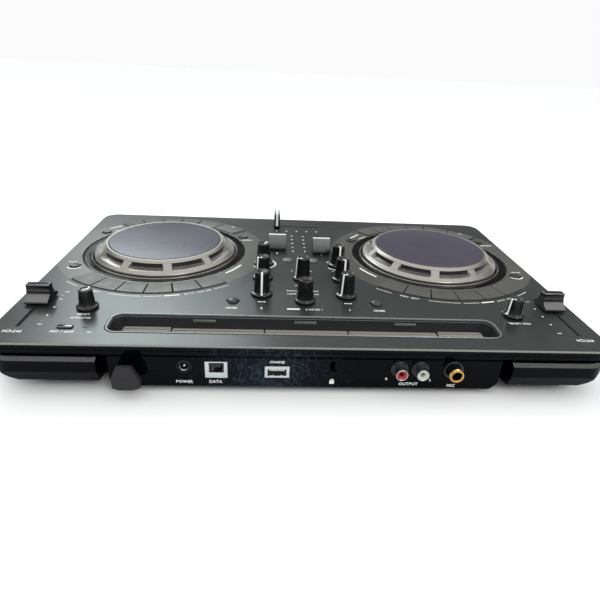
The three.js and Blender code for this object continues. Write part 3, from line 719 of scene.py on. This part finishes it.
# Printed bars beside the small keys: from one (radius, degrees) to another, and how thick.
KEY_STROKES = {
    "right": ((88.4, -39.4, 86.7, -47.8, 1.5), (77.5, -37.8, 76.4, -41.6, 0.9),
              (75.3, -154.8, 85.0, -157.1, 1.5)),
    "left": ((75.9, -151.8, 87.1, -155.0, 1.5), (83.6, -34.6, 83.8, -45.4, 1.5),
             (75.5, -37.0, 74.5, -46.3, 0.9)),
}
rear_edges = [48.3, 62.4, 76.3, 90.1, 103.9, 118.0, 131.8]
front_edges = [-103.3, -90.0, -76.7, -63.5, -50.0]
for side, sign in DECKS.items():
    x = sign * WHEEL_X
    for k in range(6):
        name = f"rear_pad_{side}_{k + 1}"
        build(f"{name}_cap", pad(x, rear_edges[k], rear_edges[k + 1]), name, pad_abs, [name])
    for name, start, end in ((f"play_button_{side}", -119.8, -103.3), (f"cue_button_{side}", -138.9, -119.8)):
        build(f"{name}_cap", pad(x, start, end, extent(name)[0][2]), name, pad_abs, [name])
    cue_mark = bar(*around(x, 90.2, -129), 3.2, 1.6, 5, PAD_TOP, PAD_TOP + INK, corner=0.8)
    build(f"cue_button_mark_{side}", cue_mark, f"cue_button_{side}", white_ink)
    mat_low = extent(f"pad_mat_{side}")[0][2]
    wide, narrow = ((-152, -34), (-35, 36)) if sign > 0 else ((-146, -28), (144, 215))
    mat = [prism(sector(x, WHEEL_Y, PAD_INNER, outer, *span), mat_low, mat_low + 1.0)
           for outer, span in ((90, wide), (77.2, narrow))]
    pad_low = mat_low + 0.8
    mat += [pad(x, front_edges[k], front_edges[k + 1], pad_low) for k in range(4)]
    build(f"soft_pads_{side}", joined(*mat), f"pad_mat_{side}", silicone, [f"pad_mat_{side}"])
    spots = ((81, 32.3), (81, -33), (80, -149.5)) if sign > 0 else ((81, 149), (81, -146), (80, -30.5))
    keys, wells, labels = [], [], []
    for reach, angle in spots:
        kx, ky = around(x, reach, angle)
        dish = eased([(0, 0.75), (2.4, 0.9), (3.1, 1.2), (3.9, 1.1), (4.15, 0.6), (4.15, pad_low),
                      (0, pad_low)], 0.3)
        keys.append(turned(dish, kx, ky, 40))
        rim_ring = eased([(4.45, -0.8), (4.5, 0.0), (4.7, 0.1), (5.1, 0.08), (5.1, -0.8)], 0.08, looped=True)
        wells.append(turned(rim_ring, kx, ky, 40))
        if ky > WHEEL_Y:
            labels.append(prism(sector(kx, ky, 5.2, 6.6, 25, 155, 20), 0, INK))
    for reach_a, angle_a, reach_b, angle_b, thick in KEY_STROKES[side]:
        first, last = np.array([around(x, reach_a, angle_a), around(x, reach_b, angle_b)])
        along = last - first
        labels.append(bar(*(first + last) / 2, np.linalg.norm(along), thick,
                          math.degrees(math.atan2(along[1], along[0]))))
    word, behind = ("SYNC", 34.2) if sign > 0 else ("HOLD", 33.0)
    labels.append(lettering(word, 2.1, (x + sign * 73.7, WHEEL_Y + behind, 0)))
    build(f"small_keys_{side}", joined(*keys), f"pad_mat_{side}", key_abs)
    build(f"small_key_rims_{side}", joined(*wells), "chassis", gloss_abs)
    build(f"small_key_labels_{side}", joined(*labels), "chassis", white_ink)


# ---------------------------------------------------------------- rotary knobs
# Black ABS knobs pushed onto metal shafts, with twenty flutes, a skirt and a dished top. A white line inlaid
# from the middle of the top down to the skirt shows where each one points.
knob_abs = material("satin_black_abs", "#090a0c", (6.0, 0.4), (0.12, 0.22), IOR=1.55)
line_paint = material("white_pointer_paint", "#f0f0ec", (1.0, 0.5), (0.35, 0.5))
shaft_steel = material("turned_steel", "#b8bcc0", (0.8, 0.5), (0.18, 0.35), 1.0)


def knob_profile(skirt, body, height):
    """Radius and height stations from the underside's middle, over the skirt, up the side, to the top's."""
    top = body - 1.0
    return eased([(0, 0.6), (skirt, 0.6), (skirt, 1.9), (skirt - 0.5, 2.3), (body + 0.4, 2.7), (body, 3.6),
                  (top + 0.15, height - 0.7), (top - 0.3, height), (top - 1.1, height - 0.05),
                  (top - 1.7, height - 0.9), (0, height - 1.0)], 0.35, 3)


def knob(cx, cy, skirt, body, height, turn, flutes=20, depth=0.38):
    """The knob's skin: the profile turned, with the radius of its side pulled in by flutes, a raised power of
    a cosine, that fade out at the skirt and below the rim."""
    def fluted(angle, radius, z):
        fade = smooth_step(z, 3.0, 4.4) * (1 - smooth_step(z, height - 1.6, height - 0.5))
        fade = fade * (radius > body - 3)
        return radius - depth * fade * (0.5 + 0.5 * np.cos(flutes * (angle - math.radians(turn)))) ** 2.5
    return turned(knob_profile(skirt, body, height), cx, cy, 160, fluted)


def pointer(cx, cy, skirt, body, height, turn):
    """A thin inlay over the knob's profile from near the axis to the skirt, facing the turn from +Y."""
    top = body - 1.0
    path = np.array([(0.6, height - 0.86), (top - 1.75, height - 0.76), (top - 1.05, height + 0.02),
                     (top - 0.3, height + 0.06), (top + 0.22, height - 0.66), (body + 0.1, 3.7),
                     (body + 0.5, 2.85), (skirt - 0.6, 2.5)])
    inner = path - np.array([[0, 0.5]] * 3 + [[0.5, 0.5]] * 5)
    section = np.concatenate([path, inner[::-1]])
    facing = math.radians(90 + turn)
    out = np.array([math.cos(facing), math.sin(facing)])
    side = np.array([-math.sin(facing), math.cos(facing)])
    rings = []
    for offset in (-0.75, 0.75):
        flat = section[:, :1] * out + side * offset + (cx, cy)
        rings.append(np.concatenate([flat, section[:, 1:]], 1))
    return shell(rings)


BODY_RADII = {20: 6.2, 15: 5.6}  # by the knob's height in millimetres
rest_turn = {j["child"]: -sum(j["range_deg"]) / 2 for j in frame["joints"] if "range_deg" in j}
for body_name, turn in rest_turn.items():
    low, high = extent(body_name)
    cx, cy = (round(c, 1) for c in (low + high)[:2] / 2)
    height, skirt = high[2], round((high - low)[1] / 2, 1)
    body_radius = BODY_RADII.get(round(height), 6.5)
    shape = (cx, cy, skirt, body_radius, height - 0.1, turn)
    build(f"{body_name}_cap", knob(*shape), body_name, knob_abs, [body_name], angle=50)
    build(f"{body_name}_pointer", pointer(*shape), body_name, line_paint)
    shaft = turned(eased([(0, -8), (2.8, -8), (2.8, 0.9), (0, 0.9)], 0.2), cx, cy, 32)
    build(f"{body_name}_shaft", shaft, body_name, shaft_steel)

low, high = extent("browse_knob")
browse = (0.0, round((low + high)[1] / 2, 1), 8.0, 6.2, high[2] - 0.1, 0)
build("browse_knob_cap", knob(*browse, flutes=28, depth=0.3), "browse_knob", knob_abs, ["browse_knob"],
      angle=50)
finish_node("browse_shaft", shaft_steel)


# ---------------------------------------------------------------- faders
# Caps in glossy black ABS stand on thin steel stems that run in slots. The tempo sliders' are saddles with a
# hollow front and back, the channel faders' wedges with a white ridge, and the crossfader's a blade.
cap_abs = material("glossy_black_cap", "#0e0e11", (6.0, 0.5), (0.1, 0.2), IOR=1.7)
mirror_upward(cap_abs, 0.15, 1.0)
slot_felt = material("black_slot_felt", "#0a0a0b", (0.5, 0.7), (0.8, 1.0))


def saddle_half(height):
    """Half a saddle's side profile: a foot, a waist hollowed as a quarter ellipse, and a narrow ridge."""
    t = np.linspace(0, 1, 14)
    waist = np.stack([2.9 + 6.4 * (1 - np.sqrt(1 - (1 - t) ** 2)), 3.6 + (height - 5.3) * t], 1)
    foot = [(9.95, 1.0), (9.95, 2.4), (9.3, 3.3)]
    return np.concatenate([foot, waist[1:], [(3.1, height - 0.9), (2.5, height - 0.1)]])


def wedge_half(height):
    """Half a wedge's side profile: a low foot and one flat slope up to the ridge."""
    return np.array([(8.55, 1.0), (8.55, 1.9), (8.2, 2.7), (2.9, height - 0.9), (2.4, height - 0.3),
                     (1.9, height - 0.1)])


def stem(cx, cy, half_x, half_y):
    """A thin upright blade from inside the case up into the cap."""
    return prism(rounded_rectangle(cx - half_x, cx + half_x, cy - half_y, cy + half_y, 0.2, 2), -6.5, 1.6)


def cap(cx, cy, width, half):
    """A half profile of (y, z) points and its mirror image, carried across the cap's width."""
    profile = np.concatenate([half, half[::-1] * (-1, 1)])
    return shell([np.stack([np.full(len(profile), cx + o), profile[:, 0] + cy, profile[:, 1]], 1)
                  for o in (-width / 2, width / 2)])


for name in ("channel_fader_right", "channel_fader_left", "tempo_slider_right", "tempo_slider_left"):
    low, high = extent(name)
    cx, cy = (low + high)[:2] / 2
    width = (high - low)[0]
    half = wedge_half(high[2]) if "channel" in name else saddle_half(high[2])
    build(f"{name}_cap", cap(cx, cy, width - 0.1, half), name, cap_abs, [name], 0.35, angle=40)
    if "channel" in name:
        line = rounded_rectangle(cx - width / 2 + 0.5, cx + width / 2 - 0.5, cy - 1.2, cy + 1.2, 0.3, 3)
        build(f"{name}_line", prism(line, high[2] - 0.4, high[2] - 0.02), name, line_paint)
    build(f"{name}_stem", stem(cx, cy, 0.6, 1.3), name, shaft_steel)
low, high = extent("crossfader")
cx, cy = (low + high)[:2] / 2
blade = [lifted(rounded_rectangle(cx - w, cx + w, cy - d, cy + d, 1.0, 4), z) for w, d, z in
         ((3.2, 8.95, 1.0), (3.2, 8.95, 3.4), (2.95, 8.7, 4.6), (3.2, 8.8, 13.6), (2.9, 8.4, 15.6),
          (2.3, 7.6, 17.0), (1.2, 6.6, 17.9))]
build("crossfader_cap", shell(blade), "crossfader", cap_abs, ["crossfader"], angle=50)
build("crossfader_stem", stem(cx, cy, 1.1, 0.7), "crossfader", shaft_steel)
over = np.array([(8.99, 3.2), (8.78, 4.6), (8.9, 13.6), (8.5, 15.6), (7.7, 17.04), (6.6, 17.97)])
over = np.concatenate([over, over[::-1] * (-1, 1)])
section = np.concatenate([over, (over * (0.93, 0.96))[::-1]])
strip = [np.stack([np.full(len(section), cx + o), section[:, 0] + cy, section[:, 1]], 1) for o in (-1.2, 1.2)]
build("crossfader_line", shell(strip), "crossfader", line_paint)

# Two felt lips lie along each slot, 0.85 mm either side of its middle and 0.9 mm wide.
felts = []
for side in (-0.85, 0.85):
    for x, y0, y1 in ((21, -219, -168), (-21, -219, -168), (194, -76.7, -20.5), (-194, -76.7, -20.5)):
        felts.append((x + side - 0.45, x + side + 0.45, y0 + 0.1, y1 - 0.1))
    felts.append((-24.1, 24.1, -246 + side - 0.45, -246 + side + 0.45))
felts = [prism(rounded_rectangle(*sides, 0.2, 2), -2.4, -0.45) for sides in felts]
build("fader_dust_seals", joined(*felts), "chassis", slot_felt)


# ---------------------------------------------------------------- round buttons and the power button
# Load and headphone-cue keys are small domes moulded in the panel's own colour, and the power button is a
# short black bar with rounded ends.
dome_abs = material("satin_dome_abs", "#262a29", (2.5, 0.6), (0.2, 0.4))
milky = material("milky_key_silicone", "#5f5b57", (1.5, 0.6), (0.28, 0.45))
for kind, skin, side in ((kind, skin, side) for kind, skin in (("load", dome_abs), ("headphone_cue", milky))
                         for side in DECKS):
    name = f"{kind}_button_{side}"
    low, high = extent(name)
    cx, cy = (low + high)[:2] / 2
    radius, height = round((high - low)[1] / 2, 2), high[2]
    t = np.linspace(0, 1, 12)
    dome = np.stack([radius * np.cos(t * np.pi / 2), 0.5 + (height - 0.5) * np.sin(t * np.pi / 2)], 1)
    dome[-1, 0] = 0
    solid = turned(np.concatenate([[(0, -5.4), (radius, -5.4)], dome]), cx, cy, 48)
    build(f"{name}_cap", solid, name, skin, [name], angle=50)
    collar = eased([(radius + 0.12, -1.2), (radius + 0.12, 0.0), (radius + 0.3, 0.16), (radius + 0.75, 0.12),
                    (radius + 0.75, -1.2)], 0.08, looped=True)
    build(f"{name}_collar", turned(collar, cx, cy, 48), "chassis", gloss_abs)
low, high = extent("power_button")
power_levels = [(0.0, low[2]), (0.0, 0.7), (0.15, 1.0), (0.5, high[2])]
power_rings = [lifted(rounded_rectangle(low[0] + i, high[0] - i, low[1] + i, high[1] - i, 1.9 - i, 6), z)
               for i, z in power_levels]
build("power_button_cap", shell(power_rings), "power_button", cap_abs, ["power_button"],
      angle=50)


# ---------------------------------------------------------------- lamps
# Ten level lamps between the channel faders and one slit by the power button are milky light guides, pressed
# in flush and unlit.
lamp_milk = material("milky_acrylic", "#e4e4df", (0.8, 0.5), (0.2, 0.35), IOR=1.49, Coat_Weight=0.2)
lamps = []
for y in np.linspace(-171.8, -215.0, 5):
    for x in (-5.8, 5.8):
        lens = eased([(0, -0.8), (0.95, -0.8), (0.95, 0.1), (0.6, 0.25), (0, 0.3)], 0.15)
        lamps.append(turned(lens, x, y, 20))
build("level_lamps", joined(*lamps), "chassis", lamp_milk)
slit = [lifted(rounded_rectangle(148.6, 151.9, -20.9, -19.9, 0.5, 4), z) for z in (-0.6, 0.12)]
build("power_lamp_slit", shell(slit), "chassis", smoked, rounding=0.08)


# ---------------------------------------------------------------- sockets
# Plated steel USB shells with moulded tongues, a DC jack with its pin, two phono sockets with coloured
# insulators, and a gilded microphone jack. All are soldered to the board and look out of the rear face.
solder_mask = material("green_solder_mask", "#1c4a33", (3.0, 0.6), (0.3, 0.5))
finish_node("main_board", solder_mask)
plated = material("nickel_plated_steel", "#c6ccce", (1.5, 0.6), (0.16, 0.36), 1.0)
finish_node("usb_b_port", plated, 0.25)
finish_node("usb_a_port", plated, 0.25)
socket_abs = material("black_socket_abs", "#0a0a0b", (8.0, 0.4), (0.2, 0.28))
finish_node("dc_jack", socket_abs, 0.2)
gilt = material("gilded_brass", "#c49a58", (1.0, 0.6), (0.15, 0.35), 1.0)


def turned_back(profile, x, z, steps=64):
    """A solid turned about an axis that points to the rear, from (radius, distance rearward) points."""
    points, faces = turned(profile, 0, 0, steps)
    return np.stack([x + points[:, 0], points[:, 2], z + points[:, 1]], 1), faces


def block(x0, x1, y0, y1, z0, z1, corner=0.3):
    """A block with rounded upright corners."""
    return prism(rounded_rectangle(x0, x1, y0, y1, corner, 3), z0, z1)


build("usb_b_tongue", block(58.3, 64.1, -12.4, -2.0, -18.0, -14.9), "chassis", socket_abs,
      rounding=0.2)
pins_b = [block(x - 0.5, x + 0.5, -12.0, -2.6, z, z + 0.25, 0.1) for x in (59.6, 62.8)
          for z in (-14.95, -18.15)]
build("usb_b_contacts", joined(*pins_b), "chassis", gilt)
white_nylon = material("white_nylon", "#bdbbb4", (2.0, 0.6), (0.35, 0.55))
build("usb_a_tongue", block(16.0, 26.6, -12.4, -1.0, -19.6, -17.9), "chassis", white_nylon,
      rounding=0.15)
pins_a = [block(x - 0.6, x + 0.6, -11.8, -1.6, -19.85, -19.55, 0.1) for x in (17.8, 20.2, 22.4, 24.8)]
build("usb_a_contacts", joined(*pins_a), "chassis", gilt)
springs = [block(x - 1.1, x + 1.1, -9.0, 0.3, z - 0.2, z + 0.2, 0.1) for x in (18.4, 24.2)
           for z in (-22.35, -17.55)]
build("usb_a_springs", joined(*springs), "chassis", plated)

dc_x, dc_z = 82.4, -16.7
barrel = eased([(3.0, -9.0), (3.0, -0.55), (3.4, -0.2), (4.1, -0.2), (4.75, -0.6), (4.75, -3.0), (3.6, -3.0),
                (3.6, -9.0)], 0.2, looped=True)
build("dc_jack_barrel", turned_back(barrel, dc_x, dc_z), "chassis", gloss_abs)
ring = eased([(2.6, -9.0), (2.6, -0.9), (2.98, -0.45), (2.98, -9.0)], 0.15, looped=True)
build("dc_jack_contact", turned_back(ring, dc_x, dc_z), "chassis", plated)
pin = eased([(0, -12), (1.0, -12), (1.0, -2.2), (0.6, -1.7), (0, -1.6)], 0.2)
build("dc_jack_pin", turned_back(pin, dc_x, dc_z, 24), "chassis", plated)

red_nylon = material("red_nylon", "#9c1b26", (1.5, 0.6), (0.28, 0.45))
rca_low, rca_high = extent("rca_sockets")
rca_out, rca_z = rca_high[1], -16.0
RED_X, WHITE_X = -61.0, -75.2
backs = [block(rca_low[0], rca_high[0], rca_low[1], -4.0, rca_low[2], -12.0, 0.5)]
noses = []
collar = eased([(0, -4.2), (6.1, -4.2), (6.1, 0.4), (5.7, 0.8), (5.1, 0.8), (4.7, 0.4), (0, 0.4)], 0.25)
nose = eased([(3.5, 1.0), (3.5, rca_out - 0.25), (3.7, rca_out), (3.95, rca_out), (4.1, rca_out - 0.3),
              (4.1, 0.3), (3.6, 0.3)], 0.15, looped=True)
for x in (RED_X, WHITE_X):
    backs.append(turned_back(collar, x, rca_z))
    noses.append(turned_back(nose, x, rca_z))
build("phono_socket_module", joined(*backs), "chassis", socket_abs, ["rca_sockets"])
build("phono_socket_noses", joined(*noses), "chassis", plated)
core = eased([(1.65, rca_out - 6.5), (1.65, rca_out - 1.2), (2.2, rca_out - 1.1), (3.1, rca_out - 0.3),
              (3.49, rca_out - 0.2), (3.49, rca_out - 6.5)], 0.2, looped=True)
for name, x, skin in (("red", RED_X, red_nylon), ("white", WHITE_X, white_nylon)):
    build(f"phono_insulator_{name}", turned_back(core, x, rca_z), "chassis", skin)

mic_x, mic_z = -98.2, -16.4
mic_low, mic_high = extent("mic_jack")
mic_body = block(mic_low[0], mic_high[0], mic_low[1], -4.0, mic_low[2], mic_z + 4.2, 0.5)
mic_ring = eased([(4.7, -4.1), (7.0, -4.1), (7.0, 0.3), (6.6, 0.95), (5.9, 1.0), (5.2, 0.8), (4.7, 0.6)], 0.3,
                 looped=True)
mic_collar = turned_back(mic_ring, mic_x, mic_z)
build("mic_jack_housing", joined(mic_body, mic_collar), "chassis", socket_abs, ["mic_jack"])
sleeve = eased([(3.9, -4.0), (3.9, 6.4), (4.6, 6.4), (4.85, 5.6), (4.85, -4.0)], 0.2, looped=True)
build("mic_jack_sleeve", turned_back(sleeve, mic_x, mic_z), "chassis", gloss_abs)


def threaded(outer, inner, start, end):
    """A ring with thread ridges outside: the outer radius less a triangle wave, 0.5 mm long, 0.28 mm deep."""
    along = np.arange(start, end - 0.5, 0.25)
    radii = outer - 0.28 * (np.arange(len(along)) % 2)
    outside = np.stack([radii, along], 1)
    mouth = [(outer - 0.35, end), (inner + 0.3, end), (inner, end - 0.4), (inner, start)]
    return np.concatenate([outside, mouth])


build("mic_jack_gilt_nose", turned_back(threaded(4.9, 3.3, 6.2, mic_high[1]), mic_x, mic_z), "chassis", gilt)


# ---------------------------------------------------------------- rear lettering
# Small white words under the sockets, printed on the face and read from behind, with a padlock by the slot
# for a security cable.
def rear_word(text, cap, x, z):
    """A word on the rear face, read from behind."""
    return lettering(text, cap, (x, 0.0, z), across=(-1, 0, 0), up=(0, 0, 1))


padlock = [block(-17.4, -14.2, 0.0, INK, -28.7, -26.1, 0.02)]
shackle = sector(-15.8, -26.1, 0.75, 1.35, 0, 180, 10)
padlock.append(shell([np.stack([shackle[:, 0], np.full(len(shackle), y), shackle[:, 1]], 1)
                      for y in (0.0, INK)]))
REAR_WORDS = (("POWER", 2.2, 82.5, -28.2), ("DATA", 2.2, 62, -28), ("CHARGE", 1.7, 21.3, -11.9),
              ("OUTPUT", 2.3, -68.5, -28.2), ("MIC", 2.3, -98.4, -29.2), ("R", 1.9, -52.9, -24.3),
              ("L", 1.9, -83.3, -24.7))
build("rear_lettering", joined(*(rear_word(*word) for word in REAR_WORDS), *padlock), "chassis", white_ink)


# ---------------------------------------------------------------- cord hook
# A six-sided plate of matt, textured ABS on a stem. A lead is looped behind it so that a tug doesn't pull the
# plug out.
hook_abs = material("matt_textured_abs", "#232326", (3.0, 0.6), (0.5, 0.72), grain=(0.6, 0.06),
                    Specular_IOR_Level=0.3)
finish_node("cord_hook", hook_abs, 0.8)


# ---------------------------------------------------------------- feet
# Four soft rubber discs, glued into shallow rings under the case.
foot_rubber = material("black_foot_rubber", "#1c1c1d", (1.0, 0.7), (0.78, 0.95), grain=(0.5, 0.05))
for place in ("rear_right", "rear_left", "front_right", "front_left"):
    name = f"rubber_foot_{place}"
    low, high = extent(name)
    cx, cy = (low + high)[:2] / 2
    r = (high - low)[0] / 2 - 0.02
    base, top = low[2], high[2]
    disc = eased([(0, base + 0.25), (r - 2.4, base + 0.25), (r - 2.0, base), (r - 0.7, base), (r, base + 0.8),
                  (r, top), (0, top)], 0.35)
    build(f"{name}_disc", turned(disc, cx, cy, 64), "chassis", foot_rubber, [name])
